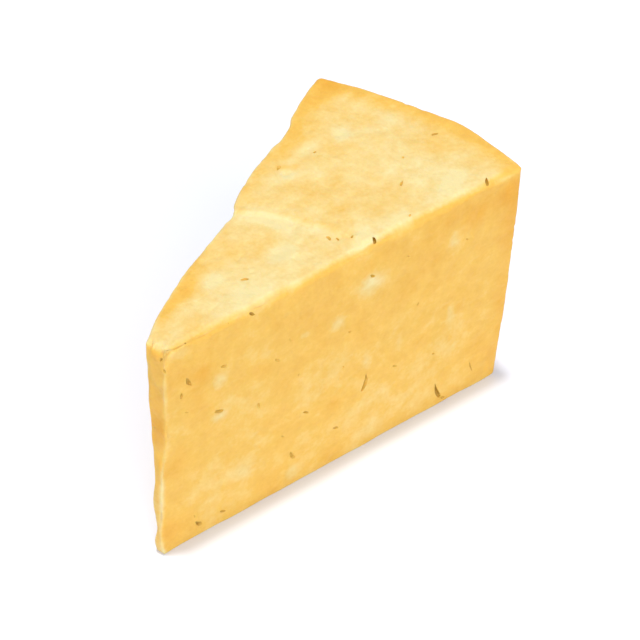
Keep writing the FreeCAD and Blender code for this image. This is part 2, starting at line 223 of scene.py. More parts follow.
def past_flake(points):
    """How far a point lies past the flake's edge, towards the rim; the edge wanders a little."""
    flat = points * [1, 1, 0]
    from_centre = np.linalg.norm(flat - FLAKE_CENTRE, axis=1)
    return from_centre - FLAKE_RADIUS + hills(flat, *FLAKE_WANDER)


def top_height(points):
    """A shallow cone that sinks to the middle, less the flake's thickness inside its edge."""
    distance = np.hypot(points[:, 0], points[:, 1])
    cone = RIM_HEIGHT - CENTRE_SINK * (1 - distance / RADIUS)
    return cone - FLAKE_DEPTH * fall(past_flake(points), -FLAKE_SLOPE / 2, FLAKE_SLOPE / 2)


print("the flake's edge is an arc of %.0f mm radius" % FLAKE_RADIUS)

# %% [markdown]
# ## The rim
#
# The side of a wheel leans in a little towards its foot and bulges slightly from the press.
# A plain cone would do for most of it, but this wheel was fuller in one place. So its radius
# is a cone plus a barrel plus one soft swell, as a function of the bearing and the height.

# %% The rim
RIM_FULLER = 1.2                    # how much fuller it is on the knife cut's side
RIM_FULLER_BETWEEN = (0.35, -0.15)  # the shares across between which that comes in
RIM_SWELL = 1.9                     # how far a flat swell stands out there
RIM_SWELL_AT = -0.33                # its share across, from -1 at the knife cut to 1
RIM_SWELL_REACH = 0.24


def rim_radius(bearing_share, height):
    """A leaning side with a slight barrel; pressing left it fuller on one side, with a swell.

    The barrel is a parabola that is 0 at the base and the top and 1 half way up. The swell is
    e to the minus square of the distance from its middle.
    """
    up = height / RIM_HEIGHT
    barrel = 4 * up * (1 - up)
    swell = np.exp(-((bearing_share - RIM_SWELL_AT) / RIM_SWELL_REACH) ** 2)
    fuller = RIM_FULLER * fade(bearing_share, *RIM_FULLER_BETWEEN) + RIM_SWELL * swell
    return RADIUS - BASE_DRAFT * (1 - up) + SIDE_BULGE * barrel + fuller


print("radius on the middle line, base and top: %.1f and %.1f mm"
      % tuple(rim_radius(0.0, np.array([0.0, RIM_HEIGHT]))))

# %% [markdown]
# ## The torn face
#
# Where the wedge was pulled off, the curd parted at its own weak places, and the face swells
# and dips. It could be sculpted, but a few leaning swells and one slanting ripple, added up,
# give the same face on every run, and the sizes can be read and changed.

# %% The torn face
SWELLS = [
    # distance from the axis, half length, how far it stands out; less than 0 goes in
    (44.0, 25.0, 3.0), (88.8, 3.6, -1.2), (108.0, 15.0, 1.4), (140.5, 8.0, -1.7),
    (165.0, 7.0, 0.3),
]
SWELL_AT_FOOT = 0.45     # how much of a swell is left at the foot
TORN_STAND = 0.5         # all of the face stands out this far at the top
TEAR_LEAN = 26.0         # how far a swell shifts towards the rim from the top to the foot
TEAR_RIPPLE = 0.9
TEAR_PITCH = 47.0
TEAR_CLIMB = 1.7         # how far a ripple goes towards the tip for a millimetre up
PINCH_DEPTH = 1.5        # beside the tip, below the ledge, the face goes in
PINCH_REACH = 18.0
PINCH_ENDS = (50.0, 75.0)
LEDGE_HEIGHT = 54.0
LEDGE_REACH = 8.0
TIP_STAND = 0.9          # the corner of the tip stands out a little, except at the ledge
TIP_STAND_REACH = 17.0


def torn_offset(along, height):
    """How far the torn face stands out of its plane.

    Each swell is flat-topped, e to the minus fourth power of its reach, leans towards the rim
    on its way down and fades to a share. Slanting ripples come in below the top edge.
    """
    level = np.clip(height / RIM_HEIGHT, 0, 1)
    swells = sum(rise * np.exp(-((along - at - TEAR_LEAN * (1 - level)) / reach) ** 4)
                 for at, reach, rise in SWELLS)
    swells = (SWELL_AT_FOOT + (1 - SWELL_AT_FOOT) * level) * swells
    ripple = TEAR_RIPPLE * np.sin(2 * math.pi * (along + TEAR_CLIMB * height) / TEAR_PITCH)
    pinch = PINCH_DEPTH * np.exp(-(along / PINCH_REACH) ** 2) * fall(height, *PINCH_ENDS)
    corner = TIP_STAND * np.exp(-(along / TIP_STAND_REACH) ** 4) * (
        1 - np.exp(-((height - LEDGE_HEIGHT) / LEDGE_REACH) ** 2))
    return TORN_STAND * level + swells + (1 - level) * ripple - pinch + corner


print("along the top edge the torn face stands out by up to %.1f mm"
      % torn_offset(np.arange(RADIUS), RIM_HEIGHT).max())

# %% [markdown]
# ## The broken tip
#
# The thin end of a wedge snaps off. What is left is a narrow facet that leans back as it
# rises, with a small ledge half way up. No simple curve has that line, so a short table of
# heights and distances gives it, and an average over a millimetre or two eases its corners.

# %% The broken tip
TIP_BREAK = [
    # height, distance from the axis
    (0.0, 6.9), (4.0, 6.1), (12.0, 5.9), (32.0, 7.8), (51.0, 9.3), (54.0, 10.0), (57.5, 11.2),
    (80.0, 12.4), (104.0, 13.8), (107.0, 14.1), (112.0, 14.9),
]
TIP_EASE = np.linspace(-1.2, 1.2, 7)    # the shifts in height that are averaged


def tip_distance(height):
    """How far the break lies from the axis at a height: straight lines with eased corners."""
    heights, distances = np.array(TIP_BREAK).T
    return np.mean([np.interp(height + shift, heights, distances) for shift in TIP_EASE],
                   axis=0)


print("tip %.1f mm from the axis at the base, %.1f mm at the ledge, %.1f mm below the top"
      % tuple(tip_distance(np.array([0.0, LEDGE_HEIGHT, 100.0]))))

# %% [markdown]
# ## One closed skin
#
# The wedge is a bent box, so its skin can be a box's six grids, each one a function of two
# shares: along from the tip to the rim, across from the knife cut to the torn side, and up.
# Cutting a solid with booleans would be quicker to write, but a grid gives even faces that
# can carry relief. The grid lines crowd at the edges, where the surface turns.

# %% Grid lines that crowd at both ends
FINEST = 0.2             # between the grid lines at an edge
WIDEST = 1.02            # between them in the middle, along and up
WIDEST_ACROSS = 1.55
GROWTH = 1.4             # how much wider each step is than the one before
MEAN_LENGTH = RADIUS - 10.0     # from the tip to the rim, roughly


def graded(length, finest, widest):
    """Shares from 0 to 1: steps grow from the finest at both ends to the widest between."""
    steps = [finest]
    while steps[-1] * GROWTH < widest:
        steps.append(steps[-1] * GROWTH)
    middle = length - 2 * sum(steps)
    count = max(1, round(middle / widest))
    steps = np.array(steps + [middle / count] * count + steps[::-1])
    return np.concatenate([[0], np.cumsum(steps)]) / length


ALONG = graded(MEAN_LENGTH, FINEST, WIDEST)
ACROSS = graded(2 * RADIUS * math.sin(HALF), FINEST, WIDEST_ACROSS)
HEIGHTS = graded(RIM_HEIGHT, FINEST, WIDEST)
print("grid lines: %d along, %d across, %d up" % (len(ALONG), len(ACROSS), len(HEIGHTS)))

# %% [markdown]
# ## Rounded edges
#
# A cut cheese has no perfectly sharp edge. A Bevel modifier could round them, but all alike,
# and here the crease over the knife cut is rubbed rounder than the rest. So each grid point
# near an edge is pulled onto a quarter round: what reaches past the rounding's centre is
# scaled back to the radius of that place.

# %% How round each edge is
EDGE_ROUND = 1.1         # an ordinary edge
EDGE_UNEVEN = (0.6, 13, 2, 3)   # hills, as a share of the rounding
SHOULDER = 1.2           # the edges at the rim
TIP_EDGE = 0.6
CREASE_WEAR = 2.5        # the knife cut's top edge is rubbed rounder than its upright ones
CROWN_WEAR = 2.8         # the corner over the tip is rubbed rounder
FAR_WEAR = 1.2           # and so is the torn side's corner at the rim

# The shares across, up or along between which each part comes in, or fades out.
TORN_ACROSS = (0.55, 1.0)
TOP_UP = (0.9, 1.0)
RIM_ALONG = (0.97, 1.0)
TIP_ALONG = (0.0, 0.03)
CROWN_ALONG = (0.0, 0.06)
FAR_ALONG = (0.95, 1.0)
FAR_UP = (0.2, 0.9)
CREASE_ALONG = (0.02, 0.1)
CREASE_TO_RIM = (0.0, 0.02)


def edge_round(along, across, up):
    """The rounding radius at a place, from the share along, across and up.

    Each kind of edge adds its own part where soft steps of the three shares meet.
    """
    torn = fade(across, *TORN_ACROSS)
    cut = 1 - torn
    at_top = fade(up, *TOP_UP)
    radius = EDGE_ROUND + (SHOULDER - EDGE_ROUND) * fade(along, *RIM_ALONG) * cut
    radius += (TIP_EDGE - EDGE_ROUND) * fall(along, *TIP_ALONG) * cut
    radius += CROWN_WEAR * fall(along, *CROWN_ALONG) * at_top * cut
    radius += FAR_WEAR * fade(along, *FAR_ALONG) * torn * fade(up, *FAR_UP)
    radius += CREASE_WEAR * at_top * cut * fade(along, *CREASE_ALONG) * (
        fade(1 - along, *CREASE_TO_RIM))
    spots = np.stack([along * RADIUS, across * RADIUS * math.sin(HALF), up * RIM_HEIGHT], axis=1)
    return radius * (1 + hills(spots, *EDGE_UNEVEN))


print("edges rounded to %.1f mm, the crease to %.1f mm" % (EDGE_ROUND, EDGE_ROUND + CREASE_WEAR))

# %% From shares to places
WIDEST_ROUND = 0.85      # a rounding takes up no more than this share of half the width
TINY = 1e-12             # keeps a length that is divided by above zero


def place(along, across, up):
    """Bend the box: shares along (0 tip, 1 rim), across (-1 knife cut, 1 torn) and up.

    The bearing is the half angle times the share across. The distance from the axis goes
    evenly from the break to the rim, and the torn offset grows with the square of the share.
    """
    height = up * RIM_HEIGHT
    bearing = across * HALF
    start = tip_distance(height) / np.cos(bearing)
    distance = start + (rim_radius(across, height) - start) * along
    points = np.stack([distance * np.cos(bearing), distance * np.sin(bearing), height], axis=1)
    points += TORN_OUT * (torn_offset(distance, height) * ((across + 1) / 2) ** 2)[:, None]
    points[:, 2] = up * top_height(points)
    return points


def pull_to_round(along, across, up):
    """Scale what reaches past the rounding's inner box back to the rounding radius."""
    height = up * RIM_HEIGHT
    start = tip_distance(height)
    length = rim_radius(across, height) - start
    half_width = (start + length * along) * math.sin(HALF)
    radius = np.minimum(edge_round(along, across, up), WIDEST_ROUND * half_width)
    beyond = []
    for position, extent in ((along * length, length),
                             ((across + 1) * half_width, 2 * half_width),
                             (height, RIM_HEIGHT)):
        beyond.append(np.maximum(position - (extent - radius), 0)
                      - np.maximum(radius - position, 0))
    reach = np.maximum(np.sqrt(sum(part ** 2 for part in beyond)), TINY)
    pull = np.where(reach > radius, radius / reach - 1, 0)
    return (along + beyond[0] * pull / length, across + beyond[1] * pull / half_width,
            up + beyond[2] * pull / RIM_HEIGHT)


half_way = place(np.array([0.5]), np.array([0.0]), np.array([1.0]))[0]
print("middle of the top, from the axis, mm:", half_way.round(1))

# %% Six grids joined into one closed mesh
def box_grid(lines_a, lines_b, shape):
    """Points and quads of one grid; shape turns the two shares into three box shares."""
    share_a, share_b = (grid.ravel() for grid in np.meshgrid(lines_a, lines_b, indexing="ij"))
    number = np.arange(share_a.size).reshape(len(lines_a), len(lines_b))
    quads = np.stack([number[:-1, :-1], number[1:, :-1], number[1:, 1:], number[:-1, 1:]],
                     axis=-1).reshape(-1, 4)
    return np.stack(shape(share_a, share_b), axis=1), quads


def box_skin():
    """The six sides of the unit box as one set of shares and quads, facing outwards."""
    sides = [
        box_grid(ALONG, HEIGHTS, lambda a, c: (a, 0 * a - 1, c)),
        box_grid(HEIGHTS, ALONG, lambda c, a: (a, 0 * a + 1, c)),
        box_grid(HEIGHTS, ACROSS, lambda c, b: (0 * b, 2 * b - 1, c)),
        box_grid(ACROSS, HEIGHTS, lambda b, c: (0 * b + 1, 2 * b - 1, c)),
        box_grid(ALONG, ACROSS, lambda a, b: (a, 2 * b - 1, 0 * a + 1)),
        box_grid(ACROSS, ALONG, lambda b, a: (a, 2 * b - 1, 0 * a)),
    ]
    shares = np.concatenate([points for points, _ in sides])
    starts = np.cumsum([0] + [len(points) for points, _ in sides[:-1]])
    quads = np.concatenate([faces + start for (_, faces), start in zip(sides, starts)])
    _, first, owner = np.unique(np.round(shares, 7), axis=0, return_index=True,
                                return_inverse=True)
    return shares[first], owner.reshape(-1)[quads]


shares, quads = box_skin()
skin = place(*pull_to_round(*shares.T))
print("skin: %d points, %d quads" % (len(skin), len(quads)))

# %% [markdown]
# ## How deep a point lies
#
# For relief and colour every point needs its distance to each of the six faces. The smallest
# one is how deep it lies below the skin, and the second smallest how far it is from the
# nearest edge.

# %% Distances to the six faces
FACES = ("knife", "torn", "tip", "rim", "top", "base")


def face_distances(points):
    """One column for each face: the distance inside it, in millimetres."""
    distance = np.hypot(points[:, 0], points[:, 1])
    share = np.arctan2(points[:, 1], points[:, 0]) / HALF
    height = points[:, 2]
    along_torn = points @ TORN_ALONG
    return np.stack([
        -points @ KNIFE_OUT,
        torn_offset(along_torn, height) - points @ TORN_OUT,
        points[:, 0] - tip_distance(height),
        rim_radius(share, height) - distance,
        top_height(points) - height,
        height,
    ], axis=1)


def near_face(distances, name, reach):
    """1 on a face, falling softly to 0 at that reach from it."""
    return fall(np.abs(distances[:, FACES.index(name)]), 0.0, reach)


middle = face_distances(np.array([[RADIUS / 2, 0.0, RIM_HEIGHT / 2]]))[0]
print("from the middle of the wedge, mm:", dict(zip(FACES, middle.round(1).tolist())))

# %% [markdown]
# ## Relief
#
# The knife drags a little, so the cut face waves by a few tenths of a millimetre and has small
# plucked pits and a few wider shallow dents. The torn face shows the curd itself: packed lumps
# of about a centimetre with seams between them. The break at the tip is like it, but finer.
# The rind is smooth. The base stays flat, because the wedge stands on it.
#
# Displacement in the material would show only in a render. Here every point is moved along
# its normal, so the relief is in the mesh and casts its own small shadows.

# %% Shallow dents where the knife plucked the curd
KNIFE_DENTS = [
    # distance from the axis, height, reach along, reach up, depth
    (148, 92, 1.6, 4.5, 0.40), (151, 88, 1.2, 3.0, 0.30), (149, 52, 1.4, 4.0, 0.40),
    (92, 78, 2.6, 2.6, 0.30), (37, 80, 2.4, 3.2, 0.35), (69, 7, 3.0, 3.2, 0.60),
    (106, 48, 1.4, 4.0, 0.25), (20, 103, 4.0, 2.4, 0.30), (54, 40, 2.5, 2.0, 0.25),
]
TOP_DENTS = [
    # X and Y from the axis, reach along X, reach along Y, depth
    (116, 22, 2.4, 1.8, 0.75), (80, -4, 3.0, 2.4, 0.45), (133, 24, 4.0, 1.6, 0.35),
    (149, 19, 2.4, 2.0, 0.35), (92, 0, 5.0, 1.2, 0.20),
]


def patches(first, second, table):
    """The sum of soft round patches: strength times e to the minus square of the distance."""
    total = np.zeros(len(first))
    for at_first, at_second, reach_first, reach_second, strength in table:
        total += strength * np.exp(-((first - at_first) / reach_first) ** 2
                                   - ((second - at_second) / reach_second) ** 2)
    return total


print("dents: %d in the knife cut, %d in the top" % (len(KNIFE_DENTS), len(TOP_DENTS)))

# %% Relief of the cut faces
WAVES = (0.22, 31, 1, 0)            # height, grain, octaves and seed step
RIPPLES = (0.10, 9, 2, 5)
PLUCKED = (0.32, 3.4, 10, 0.42, 0.85)   # depth, grain, seed step, noise that starts and ends it
NICKS = (0.9, 4.2, 70, 0.25, 0.8)
NICKED = (0.4, 2.2)                 # they fade out between these distances from the crease
NICKED_REACH = 3.0
SEAM_DEPTH = 0.098
SEAM_LUMPS = (10, SEED + 20)        # grain and seed
SEAM_WIDTH = 0.16                   # as a share of the grain
DRAG_DEPTH = 1.3                    # how far the knife pulled in the top of its cut
DRAG_REACH = 4.0
DRAG_HEIGHTS = (94.0, 110.0)
DRAG_LOSS = 0.6                     # it is less by this share towards the rim
DRAG_LOSS_BETWEEN = (100.0, 140.0)
DRAG_WANDER = (0.6, 19, 1, 75)
DRAG_MEAN = 0.8


def pits(points, depth, grain, seed_step, starts, ends):
    """Hollows where smooth noise is high: the depth times a soft step of the noise."""
    return -depth * fade(smooth_noise(points, grain, SEED + seed_step), starts, ends)


def cut_relief(points, distances):
    """Waves, ripples, plucked pits and faint seams, and nicks beside the crease."""
    from_edge = np.sort(distances, axis=1)[:, 1]
    crease = fall(from_edge, *NICKED) * near_face(distances, "top", NICKED_REACH) * (
        near_face(distances, "knife", NICKED_REACH))
    seams = SEAM_DEPTH * fall(lump_noise(points, *SEAM_LUMPS), 0.0, SEAM_WIDTH)
    return (hills(points, *WAVES) + hills(points, *RIPPLES) + pits(points, *PLUCKED) - seams
            + pits(points, *NICKS) * crease)


def knife_drag(points, distances):
    """How far the cut leans in at its top: a soft step of the height, uneven along the cut."""
    drag = DRAG_DEPTH * near_face(distances, "knife", DRAG_REACH)
    drag *= fade(points[:, 2], *DRAG_HEIGHTS)
    drag *= 1 - DRAG_LOSS * fade(points[:, 0], *DRAG_LOSS_BETWEEN)
    return -drag * (DRAG_MEAN + hills(points * [1, 1, 0], *DRAG_WANDER))


print("knife marks: pits %.2f mm deep, nicks %.2f mm" % (PLUCKED[0], NICKS[0]))

# %% Relief of the torn face, and all of it together
LUMP_HEIGHT = 1.1
LUMPS = (11, SEED + 30)             # grain and seed
LUMP_MEAN = 0.35                    # lump noise is this high on the whole
CURD_HILLS = (0.75, 6, 3, 35)
CALM_TOP = (0.2, 1.0, 9.0)          # the share left by the top edge, and where all of it is back
CALM_TIP = (0.35, 10.0, 30.0)       # the same by the tip
CHIPS = (0.5, 4.5, 3, 50)           # on the broken tip
RIND_WAVES = (0.12, 14, 2, 60)
BLEND = {"knife": 2.0, "top": 2.0, "torn": 3.0, "tip": 2.0, "rim": 2.0}    # over these reaches
BASE_FLAT = (0.6, 3.0)              # the relief comes in between these heights


def calm(values, left, start, end):
    """A share that is left at the start, and rises softly to 1 at the end."""
    return left + (1 - left) * fade(values, start, end)


def torn_relief(points, distances):
    """Packed lumps with hills on them, calmer just below the top edge and near the tip."""
    lumps = LUMP_HEIGHT * (lump_noise(points, *LUMPS) - LUMP_MEAN)
    calmer = calm(distances[:, FACES.index("top")], *CALM_TOP) * calm(points[:, 0], *CALM_TIP)
    return (lumps + hills(points, *CURD_HILLS)) * calmer


def relief(points):
    """How far each point moves out, in millimetres: each face's own noise, blended at edges."""
    distances = face_distances(points)
    on = {name: near_face(distances, name, reach) for name, reach in BLEND.items()}
    total = np.maximum(on["knife"], on["top"]) * cut_relief(points, distances)
    total += knife_drag(points, distances) + on["torn"] * torn_relief(points, distances)
    total -= on["knife"] * patches(points @ KNIFE_ALONG, points[:, 2], KNIFE_DENTS)
    total -= on["top"] * patches(points[:, 0], points[:, 1], TOP_DENTS)
    total += on["tip"] * hills(points, *CHIPS) * (1 - on["torn"])
    total += on["rim"] * hills(points, *RIND_WAVES)
    return total * fade(points[:, 2], *BASE_FLAT)


moved = relief(skin)
print("relief from %.2f to %.2f mm" % (moved.min(), moved.max()))

# %% Move the skin along its normals
def grid_normals(points, faces):
    """Each point's normal: the sum of its quads' normals, which are crossed diagonals."""
    corners = points[faces]
    crossed = np.cross(corners[:, 2] - corners[:, 0], corners[:, 3] - corners[:, 1])
    normals = np.zeros_like(points)
    for corner in range(4):
        np.add.at(normals, faces[:, corner], crossed)
    return normals / np.maximum(np.linalg.norm(normals, axis=1, keepdims=True), TINY)


skin = skin + grid_normals(skin, quads) * moved[:, None]
print("wedge with its relief, mm:", np.round(np.ptp(skin, axis=0), 1))

# %% Put a skin into Blender
def new_object(name, data):
    """An object with that data, linked into the scene."""
    made = bpy.data.objects.new(name, data)
    bpy.context.scene.collection.objects.link(made)
    return made


def new_piece(name, points, faces):
    """A mesh object from points in the wheel frame, in millimetres, and its faces."""
    mesh = bpy.data.meshes.new(name)
    mesh.from_pydata((points + AXIS) * MM, [], faces)
    mesh.update()
    return new_object(name, mesh)


wedge = new_piece("roumy_wedge", skin, quads)
print("piece %s: %d faces" % (wedge.name, len(wedge.data.polygons)))

# %% [markdown]
# ## Openings
#
# Roumy has mechanical openings: the curd grains don't knit everywhere, and what is left is
# slits, flattened eyes and pores. Painted dots would look flat from the side, so each opening
# is a real hollow. A lumpy egg shape stands for each one, and one Boolean takes them all away.
#
# The openings that give the cut face its look have a place each. The faces that nobody sees
# first get theirs from seeded random numbers.

# %% Where the openings are
OPENING_KINDS = {
    # length, width and full depth in millimetres, how much one end is wider, and how far
    # the middle bows aside in millimetres
    "crack": (12.0, 1.7, 2.8, 0.6, 0.8), "slit": (9.4, 1.8, 3.0, 0.5, -1.0),
    "eye": (4.6, 1.8, 2.2, 0.2, 0.2), "pore": (3.0, 1.3, 1.7, 0.0, 0.1),
    "pin": (1.5, 0.9, 1.2, 0.0, 0.0), "seam": (8.0, 0.8, 1.5, 0.2, 0.3),
    "gash": (6.4, 1.5, 2.4, 0.2, 0.4),
}

KNIFE_OPENINGS = [
    # kind, distance from the axis, height, lean towards the rim in degrees
    ("crack", 144.4, 9.0, -19), ("slit", 104.4, 38.0, 12), ("seam", 162.0, 13.0, -14),
    ("pore", 147.3, 2.9, -58),
    ("pore", 107.8, 93.8, -50), ("eye", 36.0, 64.0, -66), ("eye", 23.7, 87.1, -22),
    ("pore", 39.0, 86.0, -72), ("pore", 53.7, 56.0, -8), ("pore", 76.0, 38.2, -50),
    ("pore", 90.6, 20.2, -66), ("eye", 69.0, 17.6, -20), ("eye", 23.9, 7.0, -36),
    ("pore", 35.0, 6.6, -60), ("pore", 120.2, 38.1, -56), ("pore", 62.6, 75.4, -42),
    ("pore", 52.8, 104.2, -46), ("pore", 20.4, 81.6, 8), ("pin", 140.5, 33.0, -70),
    ("pin", 69.0, 82.4, -30), ("pin", 22.0, 72.0, -60), ("pin", 94.0, 53.0, 10),
    ("pin", 64.5, 31.5, -20), ("pin", 22.2, 12.5, -12), ("pin", 42.5, 105.6, 30),
    ("pin", 24.2, 105.4, -40), ("pin", 154.5, 88.5, -45), ("pin", 97.0, 70.5, -60),
    ("pin", 125.0, 95.0, -60), ("pin", 72.5, 61.5, 20), ("pin", 131.0, 66.0, 35),
]

TOP_OPENINGS = [
    # kind, X and Y from the axis, turn from +X in degrees
    ("gash", 106.0, -29.2, 60), ("gash", 158.6, -44.4, 52), ("pore", 138.0, -17.8, 20),
    ("pore", 97.2, -13.6, 70), ("pin", 102.5, -20.5, 10), ("pin", 124.8, -31.2, 30),
    ("pin", 151.0, -9.0, 60), ("pore", 170.2, -10.8, -30), ("pore", 61.0, -2.2, -45),
    ("pore", 117.0, 26.4, 15), ("pin", 99.0, -16.3, 80), ("pin", 133.0, 21.0, -20),
]

TIP_OPENINGS = [
    # kind, Y from the axis, height, lean in degrees
    ("pore", -2.0, 102.4, -24), ("pore", -3.6, 97.4, 28), ("pin", 2.4, 66.0, 5),
]
print("openings with a place: %d in the knife cut, %d in the top, %d in the tip"
      % (len(KNIFE_OPENINGS), len(TOP_OPENINGS), len(TIP_OPENINGS)))

# %% A lumpy egg for each opening
FINE_KINDS = ("crack", "slit", "eye")
FINE_EGG = (20, 13)      # points around, and rings from pole to pole
PLAIN_EGG = (12, 8)
EGG_LUMPS = ((0.20, 0.8), (0.10, 0.35))     # height and grain, for an egg of radius 1


def egg(length, width, depth, taper, bow, seed, around, rings):
    """A closed egg: length along its first axis, width along its second, depth its third.

    Rings run from pole to pole along the length. The width is scaled by 1 less the taper times
    the place along the length, and all of it by 1 plus smooth noise, so that no two openings
    look the same. The middle bows aside as 1 less the square of the place along the length.
    Both poles are single points.
    """
    polar = np.linspace(0, math.pi, rings)[1:-1]
    turn = np.linspace(0, 2 * math.pi, around, endpoint=False)
    polar_grid, turn_grid = (grid.ravel() for grid in np.meshgrid(polar, turn, indexing="ij"))
    way = np.stack([np.cos(polar_grid), np.sin(polar_grid) * np.cos(turn_grid),
                    np.sin(polar_grid) * np.sin(turn_grid)], axis=1)
    way = np.concatenate([[[1.0, 0, 0]], way, [[-1.0, 0, 0]]])
    lumpy = np.ones(len(way))
    for number, (height, grain) in enumerate(EGG_LUMPS):
        lumpy += height * smooth_noise(way, grain, seed + number)
    points = way * np.array([length, width, depth]) / 2 * lumpy[:, None]
    points[:, 1] *= 1 - taper * way[:, 0]
    points[:, 1] += bow * (1 - way[:, 0] ** 2)
    number = 1 + np.arange((rings - 2) * around).reshape(rings - 2, around)
    beside = np.roll(number, -1, axis=1)
    bands = np.stack([number[:-1], number[1:], beside[1:], beside[:-1]], axis=-1)
    last = len(points) - 1
    caps = [(0, a, b) for a, b in zip(number[0], beside[0])]
    caps += [(last, b, a) for a, b in zip(number[-1], beside[-1])]
    return points, [tuple(face) for face in bands.reshape(-1, 4)] + caps


def set_in_face(points, centre, length_way, outwards):
    """Turn an egg into a face: its length along one direction of it, its depth square to it."""
    width_way = np.cross(outwards, length_way)
    return centre + points @ np.stack([length_way, width_way, outwards])


def leaning(along_face, lean):
    """A direction in an upright face, leaning from the vertical by that many degrees."""
    angle = math.radians(lean)
    return along_face * math.sin(angle) + UP * math.cos(angle)


print("an eye has %d points" % len(egg(*OPENING_KINDS["eye"], SEED, *FINE_EGG)[0]))

# %% Openings with a place of their own
TIP_ACROSS = np.array([0.0, 1.0, 0.0])
TIP_OUT = np.array([-1.0, 0.0, 0.0])
placed = []              # kind, centre, direction of the length, direction out of the face
for kind, along, height, lean in KNIFE_OPENINGS:
    placed.append((kind, KNIFE_ALONG * along + UP * height, leaning(KNIFE_ALONG, lean),
                   KNIFE_OUT))
for kind, x, y, turn in TOP_OPENINGS:
    ground = np.array([[x, y, 0.0]])
    way = np.array([math.cos(math.radians(turn)), math.sin(math.radians(turn)), 0.0])
    placed.append((kind, ground[0] + UP * top_height(ground)[0], way, UP))
for kind, y, height, lean in TIP_OPENINGS:
    placed.append((kind, np.array([float(tip_distance(np.array(height))), y, height]),
                   leaning(TIP_ACROSS, lean), TIP_OUT))
print("longest opening: %.1f mm" % max(OPENING_KINDS[kind][0] for kind, *_ in placed))

# %% Openings thrown at random over the torn face and the base
CHANCES = {"slit": 0.04, "eye": 0.18, "pore": 0.42, "pin": 0.36}
BORDER = 9.0             # none is nearer to the torn face's top or foot
TORN_COUNT = 34
TORN_SPACING = 11.0
TORN_START = 30.0        # from the axis
TORN_ENDS = 40.0         # taken off the length, and the border as well
TORN_LEAN = 80.0         # the most, in degrees
BASE_COUNT = 14
BASE_SPACING = 0.12      # in shares of the radius and of the half angle, as is its area
BASE_START = 0.22
BASE_AREA = (0.75, 1.5)
TRIES = 30               # spots drawn for each one that is wanted


def throw(rng, count, spacing, area):
    """Random spots in a rectangle, none nearer than the spacing to one kept before it."""
    kept = []
    for spot in rng.uniform((0, 0), area, (count * TRIES, 2)):
        if len(kept) < count and all(np.hypot(*(spot - other)) > spacing for other in kept):
            kept.append(spot)
    return kept


rng = np.random.default_rng(SEED)
torn_area = (RADIUS - TORN_ENDS - BORDER, RIM_HEIGHT - 2 * BORDER)
for along, height in throw(rng, TORN_COUNT, TORN_SPACING, torn_area):
    along, height = along + TORN_START, height + BORDER
    kind = rng.choice(list(CHANCES), p=list(CHANCES.values()))
    out = float(torn_offset(np.array(along), np.array(height)))
    placed.append((kind, TORN_ALONG * along + TORN_OUT * out + UP * height,
                   leaning(TORN_ALONG, rng.uniform(-TORN_LEAN, TORN_LEAN)), TORN_OUT))
for distance, share in throw(rng, BASE_COUNT, BASE_SPACING, BASE_AREA):
    distance = RADIUS * (BASE_START + distance)
    bearing = (share - BASE_AREA[1] / 2) * HALF
    kind = rng.choice(["pore", "pin"])
    turn = rng.uniform(0, math.pi)
    placed.append((kind, distance * np.array([math.cos(bearing), math.sin(bearing), 0.0]),
                   np.array([math.cos(turn), math.sin(turn), 0.0]), -UP))


def on_skin(centre, outwards):
    """The centre of an opening, moved out or in as the relief moved the skin there."""
    return centre + outwards * relief(centre[None, :])[0]


placed = [(kind, on_skin(centre, outwards), way, outwards)
          for kind, centre, way, outwards in placed]
print("openings:", len(placed))

# %% One mesh of all the eggs
EGG_SEED = SEED + 100
egg_points, egg_faces = [], []
for number, (kind, centre, length_way, outwards) in enumerate(placed):
    points, faces = egg(*OPENING_KINDS[kind], EGG_SEED + number,
                        *(FINE_EGG if kind in FINE_KINDS else PLAIN_EGG))
    start = sum(len(part) for part in egg_points)
    egg_points.append(set_in_face(points, centre, length_way, outwards))
    egg_faces += [tuple(int(corner) + start for corner in face) for face in faces]
eggs = new_piece("opening_eggs", np.concatenate(egg_points), egg_faces)
print("eggs: %d faces" % len(egg_faces))

# %% [markdown]
# ## Taking the openings out
#
# A Boolean modifier subtracts all the eggs at once, and its result is kept as the wedge's
# mesh. Two things keep that mesh clean. The quads of both skins are slightly bent, and a cut
# through a bent quad leaves a face that no triangles fill well, so both are cut into
# triangles first. The cut faces along each rim have many corners, so the result is cut into
# triangles too.

# %% Cut faces into triangles
def into_triangles(mesh):
    """Cut every face into triangles, and count the edges that don't join just two of them."""
    editable = bmesh.new()
    editable.from_mesh(mesh)
    bmesh.ops.triangulate(editable, faces=editable.faces)
    open_edges = sum(not edge.is_manifold for edge in editable.edges)
    editable.to_mesh(mesh)
    editable.free()
    return open_edges


# Empty slots, so that the Boolean keeps the curd, the rind and the walls apart.
CURD_SLOT, RIND_SLOT, WALL_SLOT = range(3)
for piece in (wedge, eggs):
    for _ in (CURD_SLOT, RIND_SLOT, WALL_SLOT):
        piece.data.materials.append(None)
eggs.data.polygons.foreach_set("material_index", np.full(len(egg_faces), WALL_SLOT, np.int32))
print("open edges before the cut:", [into_triangles(piece.data) for piece in (wedge, eggs)])

# %% Take the eggs out of the wedge
carve = wedge.modifiers.new("openings", "BOOLEAN")
carve.operation = "DIFFERENCE"
carve.solver = "MANIFOLD"
carve.object = eggs
carved = bpy.data.meshes.new_from_object(wedge.evaluated_get(
    bpy.context.evaluated_depsgraph_get()))
wedge.modifiers.remove(carve)
wedge.data = carved
bpy.data.objects.remove(eggs)

open_edges = into_triangles(carved)
print("carved wedge: %d triangles, %d open edges" % (len(carved.polygons), open_edges))

